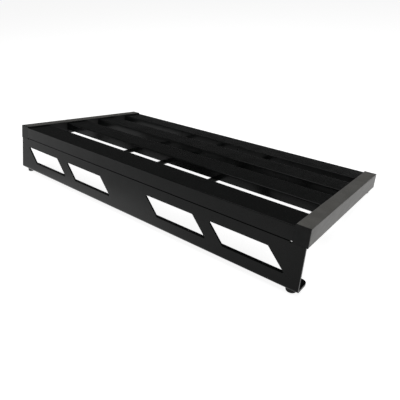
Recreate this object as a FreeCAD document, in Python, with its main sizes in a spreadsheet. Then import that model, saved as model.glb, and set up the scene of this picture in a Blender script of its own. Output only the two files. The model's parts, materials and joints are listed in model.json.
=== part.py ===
import FreeCAD, Part
import math
import os
import re

import Sketcher

# Pedalboard: a slotted aluminium deck for effects pedals, tilted towards the player.
# Two box-section side rails carry four channel rails, three braces tie the rails together
# underneath, and a windowed sheet panel holds the rear edge up.
#
# Every piece is drawn in the deck's own frame and then tilted with the deck:
#   X  along the board's width, 0 at its middle
#   Y  from the low front edge (0) up to the tall rear edge
#   Z  square to the deck, 0 at the top of the side rails

Vector = FreeCAD.Vector
doc = FreeCAD.newDocument("pedalboard")

# ---------------------------------------------------------------- driving sizes (mm, degrees)
SIZES = [
    ("board_width", 600, "over the side rails"),
    ("board_depth", 315, "over the end caps, along the deck"),
    ("deck_tilt", 12.5, "deck to ground"),
    ("side_width", 20, "side rail, box section"),
    ("side_height", 25, "side rail, box section"),
    ("side_wall", 1.5, "side rail wall"),
    ("side_corner", 0.8, "side rail outside corner radius"),
    ("cap_plate", 2.5, "end cap, plate over the tube's end"),
    ("cap_chamfer", 0.2, "end cap, bevel round the plate"),
    ("cap_plug", 10, "end cap, plug length inside the tube"),
    ("cap_play", 0.1, "end cap, play between plug and tube"),
    ("deck_drop", 2.2, "side rail top to deck rail top"),
    ("rail_width", 51, "deck rail"),
    ("rail_pitch", 85.2, "between the three lower deck rails"),
    ("rail_height", 14.4, "deck rail, channel depth"),
    ("rail_wall", 1.5, "deck rail sheet"),
    ("rail_bend", 2, "deck rail, outside bend radius"),
    ("rail_return", 11, "deck rail, inward return"),
    ("face_bottom", 22.5, "deck top to the lower edge of the outer rails' faces"),
    ("brace_width", 13, "cross brace"),
    ("brace_thickness", 2, "cross brace"),
    ("left_brace", 103.5, "board's middle to the left cross brace"),
    ("middle_brace", 5.5, "board's middle to the middle cross brace"),
    ("right_brace", 89.5, "board's middle to the right cross brace"),
    ("bracket_leg", 16, "corner bracket, leg under the rail"),
    ("bracket_drop", 7.6, "corner bracket, leg down the side rail"),
    ("bracket_length", 45, "corner bracket"),
    ("bracket_sheet", 1.5, "corner bracket sheet"),
    ("bracket_pitch", 24, "between a bracket's side rail rivets"),
    ("rivet_bore", 3.2, "rivet shank and hole diameter"),
    ("rivet_head", 5.6, "rivet head diameter"),
    ("rivet_dome", 1.3, "rivet head height"),
    ("rivet_tail", 1.6, "rivet formed end height"),
    ("tail_width", 4.4, "rivet formed end diameter"),
    ("panel_sheet", 3, "leg panel sheet"),
    ("panel_bottom", 87, "deck top to the panel's underside"),
    ("panel_inset", 2, "panel end inside the side rail's outer face"),
    ("panel_flange", 32.5, "foot flange depth"),
    ("panel_bend", 4, "foot flange, outside bend radius"),
    ("flange_corner", 8, "foot flange corner radius"),
    ("seam_low", 24, "deck top to the panel's upper edge, below a groove under the rear rail"),
    ("tab_height", 12, "tab behind the rear rail's face, above the side rails' undersides"),
    ("notch_size", 3, "relief notch at the tab's ends"),
    ("notch_low", 25.4, "deck top to the relief notch's lower edge"),
    ("window_width", 91.5, "window's top edge"),
    ("window_slant", 27.2, "sideways lean from top to bottom"),
    ("window_top", 40.2, "deck top to the window's top edge"),
    ("window_height", 28.5, "window"),
    ("left_margin", 22.4, "board's left end to the outer window's lower corner"),
    ("right_margin", 24.4, "board's right end to the outer window's upper corner"),
    ("window_pitch", 119.2, "between the two windows of a pair"),
    ("window_corner", 1.2, "window corner radius"),
    ("stud_bore", 4, "panel stud diameter"),
    ("stud_length", 8, "panel stud"),
    ("stud_pitch", 100, "between panel studs"),
    ("foot_height", 6, "foot, at its middle"),
    ("foot_top", 16.5, "foot diameter at its mounting face"),
    ("foot_base", 14.5, "foot diameter at the ground"),
    ("foot_setback", 22, "front edge to the front foot's middle"),
    ("foot_inset", 15, "board end to the rear foot's middle"),
    ("foot_edge", 0.8, "foot, softened bottom edge"),
    ("screw_bore", 4, "foot screw thread diameter"),
    ("screw_head", 7.5, "foot screw head diameter"),
    ("screw_recess", 1.8, "foot, depth of rubber above the screw's washer"),
    ("head_height", 1.9, "foot screw head"),
    ("drive_bore", 2.5, "foot screw, drive recess diameter"),
    ("drive_depth", 1.2, "foot screw, drive recess"),
    ("thread_end", 1, "foot screw, length past its nut"),
    ("insert_bore", 5.2, "rivet nut in the side rail, body diameter"),
    ("insert_rim", 1.2, "rivet nut, formed rim beyond its body"),
    ("nut_flats", 7, "M4 nut across flats"),
    ("nut_height", 3.2, "M4 nut"),
    ("washer_sheet", 0.8, "washer thickness"),
    ("play", 0.1, "clearance of a screw in its hole, on the radius"),
]
sheet = doc.addObject("Spreadsheet::Sheet", "Sizes")
for row, (alias, value, note) in enumerate(SIZES, start=1):
    sheet.set("A%d" % row, alias)
    sheet.set("B%d" % row, str(value))
    sheet.set("C%d" % row, note)
    sheet.setAlias("B%d" % row, alias)
doc.recompute()


def size(expression):
    """The value of an expression of the sheet's aliases."""
    return float(sheet.evalExpression(expression))


def bound(expression):
    """The same expression as another object has to write it."""
    return re.sub("[a-z]+_[a-z]+|play", lambda word: "Sizes." + word.group(), expression)


# ---------------------------------------------------------------- sketches and features
def sketch_on(body, role, name, height=None):
    """A sketch on one of the body's own planes, or on that plane moved along its normal."""
    plane = next(f for f in body.Origin.OriginFeatures if f.Role == role)
    sketch = body.newObject("Sketcher::SketchObject", name)
    sketch.AttachmentSupport = [(plane, "")]
    sketch.MapMode = "FlatFace"
    if height is not None:
        sketch.setExpression("AttachmentOffset.Base.z", bound(height))
    return sketch


def drive(sketch, kind, *where, expression):
    """A dimension of the sketch, driven by the sheet."""
    index = sketch.addConstraint(Sketcher.Constraint(kind, *where, size(expression)))
    sketch.setExpression("Constraints[%d]" % index, bound(expression))


def outline(sketch, corners):
    """A closed outline through corners, each a pair of expressions."""
    points = [Vector(size(x), size(y), 0) for x, y in corners]
    first = sketch.GeometryCount
    count = len(points)
    for i, point in enumerate(points):
        sketch.addGeometry(Part.LineSegment(point, points[(i + 1) % count]), False)
    for i, (x, y) in enumerate(corners):
        sketch.addConstraint(Sketcher.Constraint("Coincident", first + (i - 1) % count, 2, first + i, 1))
        drive(sketch, "DistanceX", -1, 1, first + i, 1, expression=x)
        drive(sketch, "DistanceY", -1, 1, first + i, 1, expression=y)


def circles(sketch, centres, diameter):
    """Equal circles at centres, each a pair of expressions."""
    for x, y in centres:
        middle = Vector(size(x), size(y), 0)
        circle = sketch.addGeometry(Part.Circle(middle, Vector(0, 0, 1), size(diameter) / 2), False)
        drive(sketch, "DistanceX", -1, 1, circle, 3, expression=x)
        drive(sketch, "DistanceY", -1, 1, circle, 3, expression=y)
        drive(sketch, "Diameter", circle, expression=diameter)


def extrude(body, kind, sketch, length, symmetric=False, reverse=False):
    """A Pad or Pocket of the sketch. A pocket that removes nothing is an error."""
    before = body.Shape.Volume if kind == "Pocket" else 0
    feature = body.newObject("PartDesign::" + kind, sketch.Name + "_" + kind.lower())
    feature.Profile = sketch
    feature.setExpression("Length", bound(length))
    feature.SideType = "Symmetric" if symmetric else "One side"
    feature.Reversed = reverse
    doc.recompute()
    if kind == "Pocket" and body.Shape.Volume > before - 0.01:
        raise RuntimeError("%s cuts nothing from %s" % (feature.Name, body.Name))


def edges_where(shape, test):
    """Names of the edges whose box and direction pass the test."""
    return ["Edge%d" % (i + 1) for i, edge in enumerate(shape.Edges) if test(edge)]


def dress(body, kind, amount, test, name):
    """A Fillet or Chamfer on every edge of the body's last feature that passes the test."""
    feature = body.newObject("PartDesign::" + kind, name)
    feature.Base = (body.Group[-2], edges_where(body.Group[-2].Shape, test))
    feature.setExpression("Radius" if kind == "Fillet" else "Size", bound(amount))
    doc.recompute()


def runs_along(edge, axis):
    """True for a straight edge parallel to an axis: 0, 1 or 2."""
    if not isinstance(edge.Curve, Part.Line):
        return False
    direction = edge.Curve.Direction
    return abs(abs((direction.x, direction.y, direction.z)[axis]) - 1) < 1e-6


def lies_at(edge, **places):
    """True when the middle of the edge is at the given x, y or z."""
    middle = edge.BoundBox.Center
    return all(abs(getattr(middle, axis) - place) < 0.01 for axis, place in places.items())


def new_body(name):
    body = doc.addObject("PartDesign::Body", name)
    body.Label = name
    return body


# ---------------------------------------------------------------- places on the deck
WIDTH = size("board_width")
DEPTH = size("board_depth")
TILT = size("deck_tilt")
TAN_TILT = math.tan(math.radians(TILT))
SIDES = (("left", -1), ("right", 1))

deck_top = -size("deck_drop")
rail_underside = deck_top - size("rail_height")
side_bottom = -size("side_height")
flange_bottom = -size("panel_bottom")
inner_face = WIDTH / 2 - size("side_width")          # where the deck rails end
return_hole = (size("rail_wall") + size("rail_return")) / 2

# Near edge of each deck rail, from the low front edge to the tall rear edge.
RAILS = {
    "front_rail": 0,
    "lower_rail": size("rail_pitch"),
    "upper_rail": 2 * size("rail_pitch"),
    "rear_rail": DEPTH - size("rail_width"),
}
BRACES = {"brace_left": "-left_brace", "brace_middle": "middle_brace", "brace_right": "right_brace"}
STUDS = 6

front_foot_y = size("foot_setback")
rear_foot_y = front_foot_y + (side_bottom - flange_bottom) / TAN_TILT
FEET = {
    "front_foot_left": (-(WIDTH - size("side_width")) / 2, front_foot_y, side_bottom),
    "front_foot_right": ((WIDTH - size("side_width")) / 2, front_foot_y, side_bottom),
    "rear_foot_left": (-WIDTH / 2 + size("foot_inset"), rear_foot_y, flange_bottom),
    "rear_foot_right": (WIDTH / 2 - size("foot_inset"), rear_foot_y, flange_bottom),
}

# The deck stands on its feet: they lift it so that the ground is at height 0.
lift = (size("side_height + foot_height")) * math.cos(math.radians(TILT))
lift -= front_foot_y * math.sin(math.radians(TILT))
deck = FreeCAD.Placement(Vector(0, 0, lift), FreeCAD.Rotation(Vector(1, 0, 0), TILT))
pieces = []


def place(piece, x, y, z, turn=0):
    """Sets a piece down on the deck, turned about the deck's normal."""
    on_deck = FreeCAD.Placement(Vector(x, y, z), FreeCAD.Rotation(Vector(0, 0, 1), turn))
    piece.Placement = deck.multiply(on_deck)
    pieces.append(piece)


def group(name, solids):
    """Equal small solids, already placed on the deck, as one named piece."""
    piece = doc.addObject("Part::Feature", name)
    piece.Label = name
    piece.Shape = Part.makeCompound(solids)
    place(piece, 0, 0, 0)


# ---------------------------------------------------------------- side rails and end caps
def bracket_middle(rail):
    """Y of the middle of the corner brackets under a rail; the outer rails' sit further in."""
    clear_of_panel = size("panel_sheet + rail_wall") / 2
    shift = {"front_rail": clear_of_panel, "rear_rail": -clear_of_panel}.get(rail, 0)
    return RAILS[rail] + size("rail_width") / 2 + shift


def side_rail(name, side):
    """Box tube from cap to cap, with rivet holes in its inner wall and one for the foot screw."""
    body = new_body(name)
    tube = sketch_on(body, "XZ_Plane", name + "_section")
    outline(tube, [("-side_width / 2", "0"), ("side_width / 2", "0"),
                   ("side_width / 2", "-side_height"), ("-side_width / 2", "-side_height")])
    extrude(body, "Pad", tube, "board_depth - 2 * cap_plate", reverse=True)
    dress(body, "Fillet", "side_corner", lambda e: runs_along(e, 1), name + "_corners")
    hollow = sketch_on(body, "XZ_Plane", name + "_hollow")
    half = "(side_width / 2 - side_wall)"
    outline(hollow, [("-" + half, "-side_wall"), (half, "-side_wall"),
                     (half, "side_wall - side_height"), ("-" + half, "side_wall - side_height")])
    extrude(body, "Pocket", hollow, "board_depth - 2 * cap_plate", reverse=False)
    # Rivet holes, cut in the wall that faces the deck.
    rivets = sketch_on(body, "YZ_Plane", name + "_rivet_holes")
    height = "-(deck_drop + rail_height + bracket_sheet + (bracket_drop - bracket_sheet) / 2)"
    holes = []
    for rail in RAILS:
        for end in (-1, 1):
            along = bracket_middle(rail) - size("cap_plate") + end * size("bracket_pitch") / 2
            holes.append(("%.6f" % along, height))
    circles(rivets, holes, "rivet_bore")
    extrude(body, "Pocket", rivets, "side_width", reverse=(side < 0))
    foot = sketch_on(body, "XY_Plane", name + "_foot_hole", height="-side_height / 2")
    circles(foot, [("0", "foot_setback - cap_plate")], "insert_bore")
    extrude(body, "Pocket", foot, "side_height")
    place(body, side * (WIDTH - size("side_width")) / 2, size("cap_plate"), 0)


def end_cap(name, side, y, turn):
    """Plate over the tube's end, with a hollow plug that grips inside it."""
    body = new_body(name)
    plate = sketch_on(body, "XZ_Plane", name + "_plate")
    outline(plate, [("-side_width / 2", "0"), ("side_width / 2", "0"),
                    ("side_width / 2", "-side_height"), ("-side_width / 2", "-side_height")])
    extrude(body, "Pad", plate, "cap_plate")
    outside = -size("cap_plate")
    dress(body, "Chamfer", "cap_chamfer", lambda e: lies_at(e, y=outside), name + "_bevel")
    dress(body, "Fillet", "side_corner / 4", lambda e: runs_along(e, 1), name + "_corners")
    plug = sketch_on(body, "XZ_Plane", name + "_plug")
    half = "(side_width / 2 - side_wall - cap_play)"
    top = "-(side_wall + cap_play)"
    bottom = "(side_wall + cap_play - side_height)"
    outline(plug, [("-" + half, top), (half, top), (half, bottom), ("-" + half, bottom)])
    extrude(body, "Pad", plug, "cap_plug", reverse=True)
    hollow = sketch_on(body, "XZ_Plane", name + "_hollow")
    outline(hollow, [("-%s + side_wall" % half, "%s - side_wall" % top),
                     ("%s - side_wall" % half, "%s - side_wall" % top),
                     ("%s - side_wall" % half, "%s + side_wall" % bottom),
                     ("-%s + side_wall" % half, "%s + side_wall" % bottom)])
    extrude(body, "Pocket", hollow, "cap_plug")
    place(body, side * (WIDTH - size("side_width")) / 2, y, 0, turn)


# ---------------------------------------------------------------- deck rails
def fixing_holes(body, name, rows, facing=1):
    """Rivet holes through a rail's returns at braces and end brackets; facing -1 is a turned rail."""
    holes = sketch_on(body, "XY_Plane", name + "_holes", height="-rail_height")
    bracket_x = "(board_width / 2 - side_width - bracket_leg / 2)"
    across = [bracket_x, "-" + bracket_x]
    across += [x if facing > 0 else "-(%s)" % x for x in BRACES.values()]
    circles(holes, [(x, y) for x in across for y in rows], "rivet_bore")
    extrude(body, "Pocket", holes, "2 * rail_wall", reverse=True)


def bend_edges(body, name, corners):
    """Rounds the outside of a channel's folds, at pairs of y and z."""
    dress(body, "Fillet", "rail_bend",
          lambda e: runs_along(e, 0) and any(lies_at(e, y=y, z=z) for y, z in corners),
          name + "_bends")


def middle_rail(name):
    """Channel, open below, whose two returns carry the rivets."""
    body = new_body(name)
    section = sketch_on(body, "YZ_Plane", name + "_section")
    inner = "(rail_height - rail_wall)"
    far_return, far_wall = "rail_width - rail_return", "rail_width - rail_wall"
    outline(section, [("0", "0"), ("rail_width", "0"), ("rail_width", "-rail_height"),
                      (far_return, "-rail_height"), (far_return, "-" + inner), (far_wall, "-" + inner),
                      (far_wall, "-rail_wall"), ("rail_wall", "-rail_wall"), ("rail_wall", "-" + inner),
                      ("rail_return", "-" + inner), ("rail_return", "-rail_height"),
                      ("0", "-rail_height")])
    extrude(body, "Pad", section, "board_width - 2 * side_width", symmetric=True)
    bend_edges(body, name, [(0, 0), (size("rail_width"), 0)])
    first = "(rail_wall + rail_return) / 2"
    fixing_holes(body, name, [first, "rail_width - " + first])
    place(body, 0, RAILS[name], deck_top)


def outer_rail(name, turn):
    """Channel whose outer side is a deep face, nearly down to the side rail's underside."""
    body = new_body(name)
    section = sketch_on(body, "YZ_Plane", name + "_section")
    inner = "(rail_height - rail_wall)"
    face = "-(face_bottom - deck_drop)"
    outline(section, [("0", "0"), ("rail_width", "0"), ("rail_width", face),
                      ("rail_width - rail_wall", face), ("rail_width - rail_wall", "-rail_wall"),
                      ("rail_wall", "-rail_wall"), ("rail_wall", "-" + inner),
                      ("rail_return", "-" + inner), ("rail_return", "-rail_height"),
                      ("0", "-rail_height")])
    extrude(body, "Pad", section, "board_width - 2 * side_width", symmetric=True)
    dress(body, "Fillet", "rail_bend / 2",
          lambda e: runs_along(e, 0) and lies_at(e, y=size("rail_width"), z=0), name + "_outer_bend")
    bend_edges(body, name, [(0, 0)])
    fixing_holes(body, name, ["(rail_wall + rail_return) / 2"], facing=1 if turn == 0 else -1)
    edge = RAILS[name] if turn == 0 else size("rail_width")
    place(body, 0, edge, deck_top, turn)


# ---------------------------------------------------------------- braces and corner brackets
def brace_rows():
    """Y of the rivets along a brace, one through each return that it passes under."""
    rows = []
    for name, edge in RAILS.items():
        if name != "front_rail":
            rows.append(edge + return_hole)
        if name != "rear_rail":
            rows.append(edge + size("rail_width") - return_hole)
    return rows


def brace(name, x):
    """Flat bar under the rails, from the front rail's return to the rear rail's."""
    body = new_body(name)
    bar = sketch_on(body, "XY_Plane", name + "_bar")
    start = "(rail_width - rail_return)"
    half = "(brace_width / 2)"
    outline(bar, [("-" + half, start), (half, start),
                  (half, "board_depth - " + start), ("-" + half, "board_depth - " + start)])
    extrude(body, "Pad", bar, "brace_thickness", reverse=True)
    dress(body, "Fillet", "brace_width / 4", lambda e: runs_along(e, 2), name + "_ends")
    holes = sketch_on(body, "XY_Plane", name + "_holes")
    circles(holes, [("0", "%.6f" % y) for y in brace_rows()], "rivet_bore")
    extrude(body, "Pocket", holes, "brace_thickness")
    place(body, size(x), 0, rail_underside)


def corner_bracket(name, side, rail):
    """Angle that ties the end of a deck rail to the side rail's inner wall."""
    body = new_body(name)
    angle = sketch_on(body, "XZ_Plane", name + "_section")
    outline(angle, [("0", "0"), ("bracket_leg", "0"), ("bracket_leg", "-bracket_sheet"),
                    ("bracket_sheet", "-bracket_sheet"), ("bracket_sheet", "-bracket_drop"),
                    ("0", "-bracket_drop")])
    extrude(body, "Pad", angle, "bracket_length", symmetric=True)
    across = size("bracket_leg")
    dress(body, "Fillet", "bracket_sheet",
          lambda e: runs_along(e, 2) and lies_at(e, x=across), name + "_leg_corners")
    facing = -side       # the bracket is turned half round on the right, so its Y runs backwards
    under_rail = sketch_on(body, "XY_Plane", name + "_rail_holes")
    rows = [row - bracket_middle(rail) for row in brace_rows()
            if abs(row - bracket_middle(rail)) < size("bracket_length") / 2]
    circles(under_rail, [("bracket_leg / 2", "%.6f" % (facing * row)) for row in rows], "rivet_bore")
    extrude(body, "Pocket", under_rail, "bracket_sheet")
    on_side = sketch_on(body, "YZ_Plane", name + "_side_holes")
    height = "-(bracket_sheet + (bracket_drop - bracket_sheet) / 2)"
    circles(on_side, [("bracket_pitch / 2", height), ("-bracket_pitch / 2", height)], "rivet_bore")
    extrude(body, "Pocket", on_side, "bracket_sheet", reverse=True)
    place(body, side * inner_face, bracket_middle(rail), rail_underside, 0 if side < 0 else 180)


# ---------------------------------------------------------------- leg panel
def stud_places():
    """X of the studs that hold the panel's tab to the rear rail's face."""
    return [(i - (STUDS - 1) / 2) * size("stud_pitch") for i in range(STUDS)]


def leg_panel():
    """Folded sheet: a tab set back behind the rear rail, a windowed face, a foot flange."""
    name = "leg_panel"
    body = new_body(name)
    section = sketch_on(body, "YZ_Plane", "panel_section")
    top = "(tab_height - side_height)"
    back = "-(panel_sheet + rail_wall)"
    step = "-(seam_low + panel_sheet)"
    outline(section, [("-rail_wall", top), ("-rail_wall", "-seam_low"), ("0", "-seam_low"),
                      ("0", "-panel_bottom"), ("-panel_flange", "-panel_bottom"),
                      ("-panel_flange", "panel_sheet - panel_bottom"),
                      ("-panel_sheet", "panel_sheet - panel_bottom"), ("-panel_sheet", step),
                      (back, step), (back, top)])
    extrude(body, "Pad", section, "board_width - 2 * panel_inset", symmetric=True)
    dress(body, "Fillet", "panel_bend",
          lambda e: runs_along(e, 0) and lies_at(e, y=0, z=flange_bottom), "panel_outer_bend")
    inner_y, inner_z = -size("panel_sheet"), size("panel_sheet - panel_bottom")
    dress(body, "Fillet", "panel_bend - panel_sheet",
          lambda e: runs_along(e, 0) and lies_at(e, y=inner_y, z=inner_z), "panel_inner_bend")
    flange_edge = -size("panel_flange")
    dress(body, "Fillet", "flange_corner",
          lambda e: runs_along(e, 2) and lies_at(e, y=flange_edge), "panel_flange_corners")
    # The shoulders under the side rails, each with a relief notch in the tab's corner.
    shoulders = sketch_on(body, "XZ_Plane", "panel_shoulders")
    for sign in ("", "-"):
        tab_edge = sign + "(board_width / 2 - side_width)"
        notch_edge = sign + "(board_width / 2 - side_width - notch_size)"
        end = sign + "(board_width / 2)"
        notch_top = "notch_size - notch_low"
        outline(shoulders, [(tab_edge, "-notch_low"), (notch_edge, "-notch_low"), (notch_edge, notch_top),
                            (tab_edge, notch_top), (tab_edge, "0"), (end, "0"), (end, "-side_height"),
                            (tab_edge, "-side_height")])
    extrude(body, "Pocket", shoulders, "2 * panel_flange", symmetric=True)
    windows = sketch_on(body, "XZ_Plane", "panel_windows")
    bottom = "-(window_top + window_height)"
    low_left = "(left_margin - board_width / 2)"
    low_right = "(board_width / 2 - right_margin - window_width - window_slant)"
    for start in (low_left, low_left + " + window_pitch", low_right + " - window_pitch", low_right):
        outline(windows, [(start, bottom), (start + " + window_width", bottom),
                          (start + " + window_width + window_slant", "-window_top"),
                          (start + " + window_slant", "-window_top")])
    extrude(body, "Pocket", windows, "3 * panel_sheet", symmetric=True)
    window_heights = (-size("window_top"), -size("window_top + window_height"))
    dress(body, "Fillet", "window_corner",
          lambda e: runs_along(e, 1) and any(lies_at(e, z=z) for z in window_heights),
          "panel_window_corners")
    studs = sketch_on(body, "XZ_Plane", "panel_stud_holes")
    height = "tab_height / 2 - side_height"
    circles(studs, [("%.6f" % x, height) for x in stud_places()], "stud_bore + 2 * play")
    extrude(body, "Pocket", studs, "4 * panel_sheet", symmetric=True)
    feet = sketch_on(body, "XY_Plane", "panel_foot_holes", height="-panel_bottom")
    foot_y = "%.6f" % (rear_foot_y - DEPTH)
    circles(feet, [("board_width / 2 - foot_inset", foot_y), ("foot_inset - board_width / 2", foot_y)],
            "screw_bore + 2 * play")
    extrude(body, "Pocket", feet, "2 * panel_sheet", reverse=True)
    place(body, 0, DEPTH, 0)


# ---------------------------------------------------------------- rubber feet
def foot(name, x, y, z):
    """Tapered rubber foot with a recess for its screw, its base cut to the ground's angle."""
    body = new_body(name)
    half = sketch_on(body, "XZ_Plane", name + "_half")
    bore = "(screw_bore / 2 + play)"
    recess = "(screw_head / 2 + 4 * play)"
    low = "-(2 * foot_height)"
    spread = "(foot_base - foot_top / 2)"
    outline(half, [(bore, "0"), ("foot_top / 2", "0"), (spread, low), (recess, low),
                   (recess, "-screw_recess"), (bore, "-screw_recess")])
    turned = body.newObject("PartDesign::Revolution", name + "_turned")
    turned.Profile = half
    turned.ReferenceAxis = (half, ["V_Axis"])
    turned.Angle = 360
    doc.recompute()
    base = sketch_on(body, "YZ_Plane", name + "_base")
    ahead = "foot_top * tan(deck_tilt)"
    outline(base, [("-foot_top", "-foot_height + " + ahead), ("foot_top", "-foot_height - " + ahead),
                   ("foot_top", "-4 * foot_height"), ("-foot_top", "-4 * foot_height")])
    extrude(body, "Pocket", base, "2 * foot_top", symmetric=True)
    rims = [edge for edge in body.Shape.Edges if edge.BoundBox.ZMax < -1]
    ground_rim = max(edge.Length for edge in rims)
    dress(body, "Fillet", "foot_edge",
          lambda e: e.BoundBox.ZMax < -1 and abs(e.Length - ground_rim) < 0.01, name + "_soft_edge")
    place(body, x, y, z)


# ---------------------------------------------------------------- fasteners
def turned_solid(*points):
    """Solid of revolution about Z from a closed outline of (radius, height) points."""
    corners = [Vector(r, 0, h) for r, h in points]
    face = Part.Face(Part.makePolygon(corners + corners[:1]))
    return face.revolve(Vector(0, 0, 0), Vector(0, 0, 1), 360)


def domed(radius, height):
    """Spherical cap with its flat side at height 0 and its crown at -height."""
    ball = (radius ** 2 + height ** 2) / (2 * height)
    sphere = Part.makeSphere(ball, Vector(0, 0, ball - height))
    return sphere.common(Part.makeCylinder(radius + 1, height, Vector(0, 0, -height)))


def rivet(grip):
    """Blind rivet along Z: domed head under height 0, shank, and a formed end above the grip."""
    shank = size("rivet_bore") / 2
    tail = size("tail_width") / 2
    body = turned_solid((0, 0), (shank, 0), (shank, grip), (tail, grip),
                        (shank, grip + size("rivet_tail")), (0, grip + size("rivet_tail")))
    return body.fuse(domed(size("rivet_head / 2"), size("rivet_dome"))).removeSplitter()


def hex_nut(bore_radius):
    """Nut standing on height 0, its bore clear of the thread and its corners turned off."""
    flats, height = size("nut_flats"), size("nut_height")
    corner = flats / math.sqrt(3)
    bevel = 0.12 * height
    angles = [math.radians(60 * i) for i in range(7)]
    ring = [Vector(corner * math.cos(angle), corner * math.sin(angle), 0) for angle in angles]
    prism = Part.Face(Part.makePolygon(ring)).extrude(Vector(0, 0, height))
    blank = turned_solid((0, 0), (flats / 2, 0), (corner, bevel), (corner, height - bevel),
                         (flats / 2, height), (0, height))
    return prism.common(blank).cut(Part.makeCylinder(bore_radius, height))


def washer(inner, outer):
    """Flat washer standing on height 0, from its two radii."""
    thickness = size("washer_sheet")
    return Part.makeCylinder(outer, thickness).cut(Part.makeCylinder(inner, thickness))


def screw(reach):
    """Foot screw along Z: its head under height 0, a thread that ends at reach, a drive recess."""
    radius, head = size("screw_bore") / 2, size("screw_head") / 2
    height = size("head_height")
    solid = turned_solid((0, -height), (0.8 * head, -height), (head, -0.55 * height), (head, 0),
                         (radius, 0), (radius, reach), (0, reach))
    drive = Part.makeCylinder(size("drive_bore") / 2, size("drive_depth"), Vector(0, 0, -height))
    return solid.cut(drive)


def rivet_nut(grip, length):
    """Threaded sleeve along Z, set in a wall of thickness grip and spread behind it."""
    bore = size("screw_bore + play") / 2
    body = size("insert_bore") / 2
    rim = body + size("insert_rim")
    return turned_solid((bore, 0), (body, 0), (body, grip), (rim, grip),
                        ((body + rim) / 2, length), (bore, length))


def set_down(solid, place_on_deck, axis=Vector(0, 0, 1)):
    """A copy of a solid, its Z turned to the axis and its origin at a point of the deck."""
    copy = solid.copy()
    copy.Placement = FreeCAD.Placement(place_on_deck, FreeCAD.Rotation(Vector(0, 0, 1), axis))
    return copy


def add_rivets():
    """Rivets of the braces, of the brackets under the rails, and of the brackets on the side rails."""
    wall = size("rail_wall")
    under_brace = rail_underside - size("brace_thickness")
    brace_rivet = rivet(size("brace_thickness") + wall)
    group("brace_rivets", [set_down(brace_rivet, Vector(size(x), y, under_brace))
                           for x in BRACES.values() for y in brace_rows()])
    bracket_x = inner_face - size("bracket_leg") / 2
    under_bracket = rail_underside - size("bracket_sheet")
    bracket_rivet = rivet(size("bracket_sheet") + wall)
    group("bracket_rivets", [set_down(bracket_rivet, Vector(side * bracket_x, y, under_bracket))
                             for _, side in SIDES for y in brace_rows()])
    height = rail_underside - size("bracket_sheet + (bracket_drop - bracket_sheet) / 2")
    side_rivet = rivet(size("bracket_sheet + side_wall"))
    rivets = []
    for _, side in SIDES:
        for rail in RAILS:
            for end in (-1, 1):
                y = bracket_middle(rail) + end * size("bracket_pitch") / 2
                start = Vector(side * (inner_face - size("bracket_sheet")), y, height)
                rivets.append(set_down(side_rivet, start, Vector(side, 0, 0)))
    group("side_rail_rivets", rivets)


def add_panel_fixings():
    """Studs on the back of the rear rail's face, with a washer and a nut on each."""
    radius = size("stud_bore") / 2
    face_back = DEPTH - size("rail_wall")
    behind_tab = face_back - size("panel_sheet")
    behind_washer = behind_tab - size("washer_sheet")
    height = size("tab_height / 2 - side_height")
    inwards = Vector(0, -1, 0)
    fixings = (
        ("panel_studs", Part.makeCylinder(radius, size("stud_length")), face_back),
        ("panel_washers", washer(radius + size("play"), size("nut_flats") / 2 + 1), behind_tab),
        ("panel_nuts", hex_nut(radius + size("play") / 2), behind_washer),
    )
    for name, solid, y in fixings:
        group(name, [set_down(solid, Vector(x, y, height), inwards) for x in stud_places()])


def add_foot_fixings():
    """A screw and washer up through each foot, into a nut on the flange or in the side rail."""
    radius = size("screw_bore") / 2
    ring = washer(radius + size("play"), size("screw_head") / 2 + 0.3)
    nut = hex_nut(radius + size("play") / 2)
    rubber = size("screw_recess + washer_sheet")
    sheets = {"front": size("side_wall"), "rear": size("panel_sheet")}
    screws, washers, nuts, sleeves = [], [], [], []
    for name, (x, y, z) in FEET.items():
        sheet_metal = sheets[name.split("_")[0]]
        past_foot = sheet_metal + size("nut_height")
        seat = Vector(x, y, z - rubber)
        screws.append(set_down(screw(rubber + past_foot + size("thread_end")), seat))
        washers.append(set_down(ring, seat))
        if name.startswith("rear"):
            nuts.append(set_down(nut, Vector(x, y, z + sheet_metal)))
        else:
            sleeves.append(set_down(rivet_nut(sheet_metal, past_foot), Vector(x, y, z)))
    group("foot_screws", screws)
    group("foot_washers", washers)
    group("foot_nuts", nuts)
    group("foot_rivet_nuts", sleeves)


# ---------------------------------------------------------------- the assembly
for side_name, side_sign in SIDES:
    side_rail("side_rail_" + side_name, side_sign)
    end_cap("front_cap_" + side_name, side_sign, size("cap_plate"), 0)
    end_cap("rear_cap_" + side_name, side_sign, DEPTH - size("cap_plate"), 180)
outer_rail("rear_rail", 0)
middle_rail("upper_rail")
middle_rail("lower_rail")
outer_rail("front_rail", 180)
for brace_name, brace_x in BRACES.items():
    brace(brace_name, brace_x)
for rail_name in RAILS:
    for side_name, side_sign in SIDES:
        corner_bracket("bracket_%s_%s" % (rail_name.split("_")[0], side_name), side_sign, rail_name)
leg_panel()
for foot_name, foot_place in FEET.items():
    foot(foot_name, *foot_place)
add_rivets()
add_panel_fixings()
add_foot_fixings()
doc.recompute()

# Centre the board over the origin, front to back; the feet already stand at height 0.
box = Part.makeCompound([piece.Shape for piece in pieces]).optimalBoundingBox()
for piece in pieces:
    piece.Placement.Base.y -= (box.YMin + box.YMax) / 2
doc.recompute()

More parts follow.
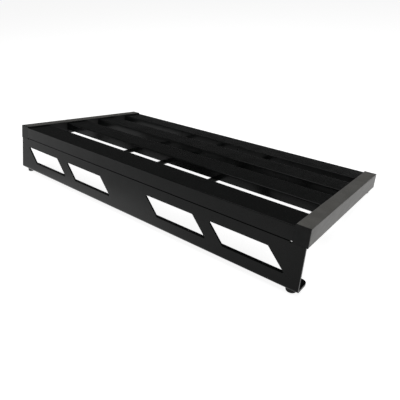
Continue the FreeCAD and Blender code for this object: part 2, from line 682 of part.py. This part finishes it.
# ---------------------------------------------------------------- checks and export
for item in doc.Objects:
    if "Invalid" in item.State or "Error" in item.State:
        raise RuntimeError("%s is %s" % (item.Name, item.State))
for piece in pieces:
    if piece.Shape.isNull() or not piece.Shape.isValid() or not piece.Shape.Solids:
        raise RuntimeError("%s has a bad shape" % piece.Label)
os.makedirs("parts", exist_ok=True)
for piece in pieces:
    piece.Shape.exportStep("parts/%s.step" % piece.Label)
    extent = piece.Shape.optimalBoundingBox()
    print("%-22s solids %2d  volume %9.1f mm3  box %6.1f x %5.1f x %5.1f"
          % (piece.Label, len(piece.Shape.Solids), piece.Shape.Volume, extent.XLength, extent.YLength,
             extent.ZLength))
total = Part.makeCompound([piece.Shape for piece in pieces]).optimalBoundingBox()
print("whole board %.2f x %.2f x %.2f, from z %.3f, y %.3f to %.3f"
      % (total.XLength, total.YLength, total.ZLength, total.ZMin, total.YMin, total.YMax))
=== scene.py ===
import json
import math

import bpy
from mathutils import Euler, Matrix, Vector

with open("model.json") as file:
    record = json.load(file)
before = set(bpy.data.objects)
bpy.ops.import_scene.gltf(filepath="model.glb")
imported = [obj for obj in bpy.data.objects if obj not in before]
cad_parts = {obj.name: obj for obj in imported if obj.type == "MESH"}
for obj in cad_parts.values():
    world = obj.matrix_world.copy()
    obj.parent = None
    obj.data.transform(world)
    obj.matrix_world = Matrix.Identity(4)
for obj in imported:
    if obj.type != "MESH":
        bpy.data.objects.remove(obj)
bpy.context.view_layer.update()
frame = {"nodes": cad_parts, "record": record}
scene = bpy.context.scene

# The board stands on z = 0 with its low player's edge towards -Y and its tall windowed panel
# towards +Y. Lengths are in metres.


# ---------------------------------------------------------------- camera
def add_camera():
    """Three-quarter view from behind the tall panel, past the board's -X end."""
    lens = bpy.data.cameras.new("camera")
    lens.sensor_width = 36.0
    lens.lens = 36.41
    lens.shift_x = 0.03
    lens.shift_y = -0.14
    lens.clip_start = 0.01
    camera = bpy.data.objects.new("camera", lens)
    camera.location = (-0.4293, 0.5292, 0.3856)
    camera.rotation_euler = Euler([math.radians(a) for a in (65.20, 2.09, -142.35)])
    scene.collection.objects.link(camera)
    scene.camera = camera


# ---------------------------------------------------------------- node materials
NOISE_RANGE = (0.3, 0.7)        # where most of a noise texture's values lie
MATT = (0.95, 0.95, 0.95)       # a roughness, as a colour that blend takes
SIDE_RAIL_PAINTED_SHADE_EDGE = (0.2802, 0.2808)    # from the tube's inner wall to its top, from the middle; nearer the middle the tube is painted near-black as shade


def map_range(tree, value, from_range, to_range):
    """A node that maps a value from one (low, high) range to another, held at both ends."""
    node = tree.nodes.new("ShaderNodeMapRange")
    sockets = ("From Min", "From Max", "To Min", "To Max")
    for socket, number in zip(sockets, (*from_range, *to_range)):
        node.inputs[socket].default_value = number
    tree.links.new(value, node.inputs["Value"])
    return node


class Shader:
    """A material with one principled shader, and short calls for the nodes that feed it."""

    def __init__(self, name, colour, roughness, **constants):
        self.material = bpy.data.materials.new(name)
        self.material.use_nodes = True
        self.tree = self.material.node_tree
        self.nodes = self.tree.nodes
        self.links = self.tree.links
        self.principled = self.nodes["Principled BSDF"]
        self.set("Base Color", (*colour, 1.0))
        self.set("Roughness", roughness)
        for socket, value in constants.items():
            self.set(socket.replace("_", " "), value)
        self.place = self.nodes.new("ShaderNodeTexCoord").outputs["Object"]

    def set(self, socket, value):
        self.principled.inputs[socket].default_value = value

    def feed(self, socket, output):
        self.links.new(output, self.principled.inputs[socket])

    def noise(self, scale, detail=2.0, stretch=(1.0, 1.0, 1.0)):
        """Noise over the board's own coordinates; scale is in cells a metre."""
        mapping = self.nodes.new("ShaderNodeMapping")
        mapping.inputs["Scale"].default_value = stretch
        self.links.new(self.place, mapping.inputs["Vector"])
        texture = self.nodes.new("ShaderNodeTexNoise")
        texture.inputs["Scale"].default_value = scale
        texture.inputs["Detail"].default_value = detail
        self.links.new(mapping.outputs["Vector"], texture.inputs["Vector"])
        return texture.outputs["Fac"]

    def spread(self, value, low, high):
        """Noise spread between low and high."""
        return map_range(self.tree, value, NOISE_RANGE, (low, high)).outputs["Result"]

    def tint(self, value, dark, light):
        """A colour between dark and light, by noise."""
        node = self.nodes.new("ShaderNodeValToRGB")
        for element, place, colour in zip(node.color_ramp.elements, NOISE_RANGE, (dark, light)):
            element.position = place
            element.color = (*colour, 1.0)
        self.links.new(value, node.inputs["Fac"])
        return node.outputs["Color"]

    def beyond_x(self, start, end):
        """0 within start of the board's middle plane, 1 further out than end."""
        axes = self.nodes.new("ShaderNodeSeparateXYZ")
        self.links.new(self.place, axes.inputs["Vector"])
        distance = self.nodes.new("ShaderNodeMath")
        distance.operation = "ABSOLUTE"
        self.links.new(axes.outputs["X"], distance.inputs[0])
        node = map_range(self.tree, distance.outputs["Value"], (start, end), (0.0, 1.0))
        return node.outputs["Result"]

    def blend(self, share, colour, output):
        """The colour where share is 0, the output where it is 1."""
        node = self.nodes.new("ShaderNodeMix")
        node.data_type = "RGBA"
        node.inputs["A"].default_value = (*colour, 1.0)
        self.links.new(share, node.inputs["Factor"])
        self.links.new(output, node.inputs["B"])
        return node.outputs["Result"]

    def bump(self, height, strength, depth):
        """Relief of a depth in metres."""
        node = self.nodes.new("ShaderNodeBump")
        node.inputs["Strength"].default_value = strength
        node.inputs["Distance"].default_value = depth
        self.links.new(height, node.inputs["Height"])
        return node.outputs["Normal"]


def powder_coat(name, dark, light, roughness):
    """Black powder coat: faint mottling, uneven satin, fine orange peel."""
    coat = Shader(name, light, roughness, Specular_IOR_Level=0.15)
    coat.feed("Base Color", coat.tint(coat.noise(scale=60, detail=3), dark, light))
    satin = coat.noise(scale=35, detail=4)
    coat.feed("Roughness", coat.spread(satin, roughness - 0.05, roughness + 0.05))
    peel = coat.noise(scale=350, detail=1)
    coat.feed("Normal", coat.bump(peel, strength=0.05, depth=0.00002))
    return coat.material


def anodised(name, dark, light, roughness, painted_shade_inner_wall):
    """Charcoal satin tube: lengthwise drawing lines, soft tone changes, and a matt inner wall
    painted near-black as shade.
    """
    coat = Shader(name, light, roughness, Specular_IOR_Level=0.35)
    lines = coat.noise(scale=900, detail=3, stretch=(1.0, 0.02, 1.0))
    tone = coat.tint(coat.noise(scale=45, detail=4), dark, light)
    # painted shade: the inner wall, which lies in shade between the rails, is coloured near-black
    clear_of_painted_shade = coat.beyond_x(*SIDE_RAIL_PAINTED_SHADE_EDGE)
    coat.feed("Base Color", coat.blend(clear_of_painted_shade, painted_shade_inner_wall, tone))
    satin = coat.spread(lines, roughness - 0.06, roughness + 0.06)
    coat.feed("Roughness", coat.blend(clear_of_painted_shade, MATT, satin))
    coat.feed("Normal", coat.bump(lines, strength=0.15, depth=0.00003))
    return coat.material


def moulded_plastic(name, dark, light, roughness):
    """Black plastic with a fine spark-eroded grain."""
    plastic = Shader(name, light, roughness, Specular_IOR_Level=0.15)
    plastic.feed("Base Color", plastic.tint(plastic.noise(scale=120, detail=3), dark, light))
    grain = plastic.noise(scale=2600, detail=2)
    plastic.feed("Normal", plastic.bump(grain, strength=0.35, depth=0.00005))
    return plastic.material


def rubber(name, dark, light, roughness):
    """Matt rubber with a bloom of dust in its grain."""
    mould = Shader(name, light, roughness, Specular_IOR_Level=0.2)
    mould.feed("Base Color", mould.tint(mould.noise(scale=500, detail=5), dark, light))
    grain = mould.noise(scale=1800, detail=3)
    mould.feed("Normal", mould.bump(grain, strength=0.5, depth=0.00008))
    return mould.material


def plated_steel(name, dark, light, roughness):
    """Zinc-plated steel, slightly clouded and scratched."""
    steel = Shader(name, light, roughness, Metallic=1.0)
    steel.feed("Base Color", steel.tint(steel.noise(scale=700, detail=4), dark, light))
    clouds = steel.noise(scale=2200, detail=3)
    steel.feed("Roughness", steel.spread(clouds, roughness - 0.1, roughness + 0.1))
    scratches = steel.noise(scale=1500, detail=3)
    steel.feed("Normal", steel.bump(scratches, strength=0.2, depth=0.00002))
    return steel.material


MATERIALS = {
    "frame_coat": powder_coat(
        "powder_coat", (0.0035, 0.0039, 0.0038), (0.005, 0.0055, 0.0053), 0.2),
    "inner_coat": powder_coat(
        "inner_powder_coat", (0.008, 0.0085, 0.008), (0.012, 0.0125, 0.012), 0.5),
    # the side rail's inner wall gets a near-black painted shade
    "side_rail_coat": anodised(
        "side_rail_finish_and_painted_shade", (0.1, 0.098, 0.091), (0.13, 0.127, 0.119), 0.4,
        painted_shade_inner_wall=(0.005, 0.005, 0.005)),
    "cap_plastic": moulded_plastic(
        "cap_plastic", (0.009, 0.0095, 0.0095), (0.013, 0.0135, 0.0135), 0.5),
    "foot_rubber": rubber(
        "foot_rubber", (0.014, 0.014, 0.014), (0.03, 0.03, 0.029), 0.75),
    "rivet_metal": powder_coat(
        "rivet_paint", (0.01, 0.01, 0.01), (0.02, 0.02, 0.02), 0.4),
    "screw_steel": plated_steel(
        "screw_steel", (0.28, 0.28, 0.27), (0.42, 0.42, 0.4), 0.35),
}


def dress_frame():
    """Gives every CAD node the finish of its material slot."""
    for part in frame["record"]["subparts"]:
        mesh = frame["nodes"][part["node"]].data
        mesh.materials.clear()
        mesh.materials.append(MATERIALS[part["material_slot"]])


# ---------------------------------------------------------------- studio
FLOOR_REACH = 20.0
# Painted pools of light that glow in the floor: centre, where each starts to fade, where it ends,
# strength.
PAINTED_LIGHT_POOLS = (
    ((0.3, 0.55, 0.0), 0.5, 0.9, 0.87),         # beyond the windowed panel
    ((-0.5, -0.15, 0.0), 0.25, 0.45, 0.66),     # beside the -X side rail
    ((0.1, 0.06, 0.0), 0.15, 0.3, 0.8),         # under the board, painted light where the floor would lie in shade
)
SKY_RISE = (0.0, 0.2)           # height of a direction, as its sine, over which the sky brightens
SKY_GLOW = (0.014, 0.06)        # strength at the horizon and above the rise


def seen_directly(tree, direct, bounced):
    """The direct value where the camera looks, and the bounced one for light on the board."""
    path = tree.nodes.new("ShaderNodeLightPath")
    pick = map_range(tree, path.outputs["Is Camera Ray"], (0.0, 1.0), (0.0, direct))
    tree.links.new(bounced, pick.inputs["To Min"])
    return pick.outputs["Result"]


def painted_light_pool(sheet, centre, inner, outer, strength):
    """Painted light: floor glow that fades out between two distances from a point of the floor.
    """
    offset = sheet.nodes.new("ShaderNodeVectorMath")
    offset.operation = "DISTANCE"
    offset.inputs[1].default_value = centre
    sheet.links.new(sheet.place, offset.inputs[0])
    fade = map_range(sheet.tree, offset.outputs["Value"], (inner, outer), (strength, 0.0))
    fade.interpolation_type = "SMOOTHSTEP"
    return fade.outputs["Result"]


def add_floor():
    """A floor that glows in painted pools of light near the board, that the camera sees as white.
    """
    mesh = bpy.data.meshes.new("floor")
    corners = [(x * FLOOR_REACH, y * FLOOR_REACH, 0)
               for x, y in ((-1, -1), (1, -1), (1, 1), (-1, 1))]
    mesh.from_pydata(corners, [], [(0, 1, 2, 3)])
    floor = bpy.data.objects.new("floor", mesh)
    scene.collection.objects.link(floor)
    sheet = Shader("floor", (0.4, 0.4, 0.4), 0.9, Specular_IOR_Level=0.0)
    sheet.set("Emission Color", (1.0, 1.0, 1.0, 1.0))
    glow, *others = (painted_light_pool(sheet, *pool) for pool in PAINTED_LIGHT_POOLS)
    for pool in others:
        both = sheet.nodes.new("ShaderNodeMath")
        both.operation = "ADD"
        sheet.links.new(glow, both.inputs[0])
        sheet.links.new(pool, both.inputs[1])
        glow = both.outputs["Value"]
    # painted light: the floor's emission, evenly white to the camera and in glowing pools for
    # light on the board
    sheet.feed("Emission Strength", seen_directly(sheet.tree, 0.9, glow))
    mesh.materials.append(sheet.material)


def add_softbox(name, place, target, width, height, power):
    """A rectangular soft light that faces a point."""
    panel = bpy.data.lights.new(name, "AREA")
    panel.shape = "RECTANGLE"
    panel.size = width
    panel.size_y = height
    panel.energy = power
    lamp = bpy.data.objects.new(name, panel)
    lamp.location = place
    lamp.rotation_euler = (Vector(target) - Vector(place)).to_track_quat("-Z", "Y").to_euler()
    lamp.visible_camera = False
    scene.collection.objects.link(lamp)


def add_world():
    """White to the camera, and dim to everything else, most of all along the horizon."""
    world = bpy.data.worlds.new("surroundings")
    world.use_nodes = True
    tree = world.node_tree
    background = tree.nodes["Background"]
    background.inputs["Color"].default_value = (1.0, 1.0, 1.0, 1.0)
    axes = tree.nodes.new("ShaderNodeSeparateXYZ")
    direction = tree.nodes.new("ShaderNodeTexCoord").outputs["Generated"]
    tree.links.new(direction, axes.inputs["Vector"])
    glow = map_range(tree, axes.outputs["Z"], SKY_RISE, SKY_GLOW).outputs["Result"]
    tree.links.new(seen_directly(tree, 1.0, glow), background.inputs["Strength"])
    scene.world = world


add_camera()
dress_frame()
add_floor()
add_world()
add_softbox("top_light", (0.0, 0.1, 2.0), (0, 0.1, 0), width=2.0, height=2.0, power=24)
add_softbox("side_light", (1.1, 0.8, 0.25), (0.25, 0.15, 0.05), width=0.9, height=0.5, power=3.2)
add_softbox("edge_light", (-1.0, -0.5, 0.6), (-0.3, -0.1, 0.05), width=0.5, height=0.3, power=2)
scene.view_settings.view_transform = "Standard"
